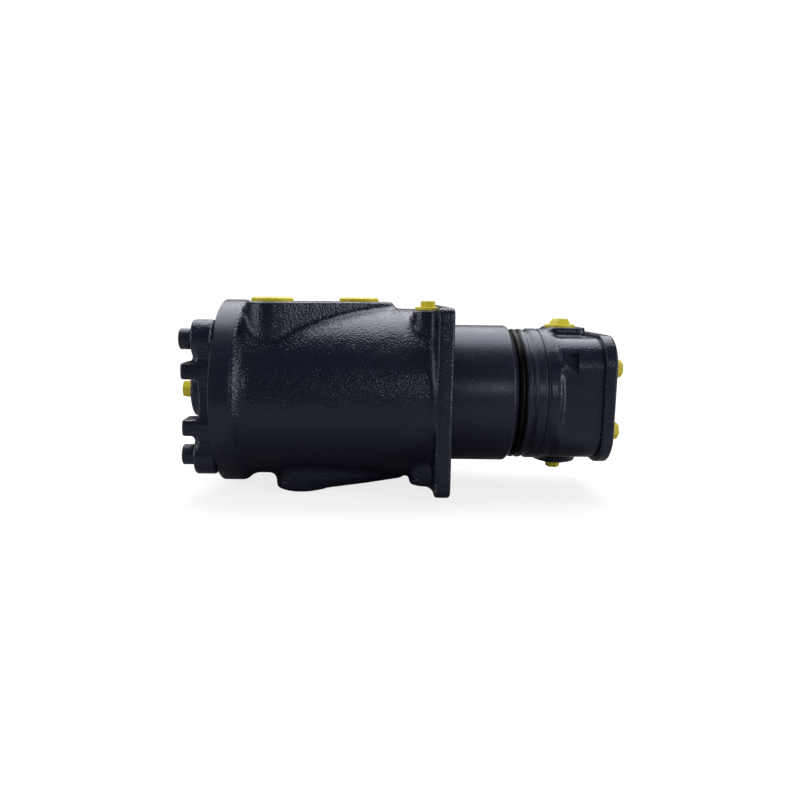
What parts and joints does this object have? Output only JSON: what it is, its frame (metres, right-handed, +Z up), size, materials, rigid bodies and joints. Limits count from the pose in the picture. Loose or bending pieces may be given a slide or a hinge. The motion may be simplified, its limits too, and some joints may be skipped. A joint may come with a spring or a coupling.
{
  "type": "hydraulic rotary union",
  "caption": "Hydraulic rotary union with a cast body, square mounting flange, bolted end cover and a spindle with a squared port head that turns about the long axis.",
  "frame": {"origin": "centre of the mounting flange's seating face, where it meets the swivel axis", "axes": "+X along the swivel axis from the cover towards the spindle's port head, +Z up as the union lies on its foot port, Y to the side"},
  "size_m": [0.3998, 0.1724, 0.1743],
  "materials": {
    "body_paint": "satin",
    "spindle_paint": "satin",
    "cap_plastic": "matte",
    "rubber": "matte",
    "slide_ring": "satin",
    "steel": "satin",
    "bronze": "satin"
  },
  "bodies": {
    "stator": {"housing": "body_paint", "end_cover": "body_paint", "cover_o_ring": "rubber", "thrust_washer": "bronze", "foot_plug": "steel", "drain_plug": "steel", "cover_screw_1": "body_paint", "cover_screw_2": "body_paint", "cover_screw_3": "body_paint", "cover_screw_4": "body_paint", "slide_ring_1": "slide_ring", "slide_ring_2": "slide_ring", "slide_ring_3": "slide_ring", "slide_ring_4": "slide_ring", "slide_ring_5": "slide_ring", "slide_ring_6": "slide_ring", "energizer_1": "rubber", "energizer_2": "rubber", "energizer_3": "rubber", "energizer_4": "rubber", "energizer_5": "rubber", "energizer_6": "rubber", "top_rear_cap": "cap_plastic", "top_front_cap": "cap_plastic", "top_small_cap": "cap_plastic", "side_cap": "cap_plastic", "cover_cap": "cap_plastic"},
    "rotor": {"spindle": "spindle_paint", "dust_seal": "rubber", "thrust_plate": "steel", "gallery_plug_1": "steel", "gallery_plug_2": "steel", "gallery_plug_3": "steel", "gallery_plug_4": "steel", "gallery_plug_5": "steel", "thrust_screw_1": "steel", "thrust_screw_2": "steel", "thrust_screw_3": "steel", "head_top_cap": "cap_plastic", "head_bottom_cap": "cap_plastic", "head_side_cap": "cap_plastic", "end_upper_cap": "cap_plastic", "end_lower_cap": "cap_plastic"}
  },
  "joints": [
    {"name": "spindle_turn", "type": "hinge", "parent": "stator", "child": "rotor", "pos_m": [0, 0, 0], "axis": [1, 0, 0], "continuous": true}
  ]
}
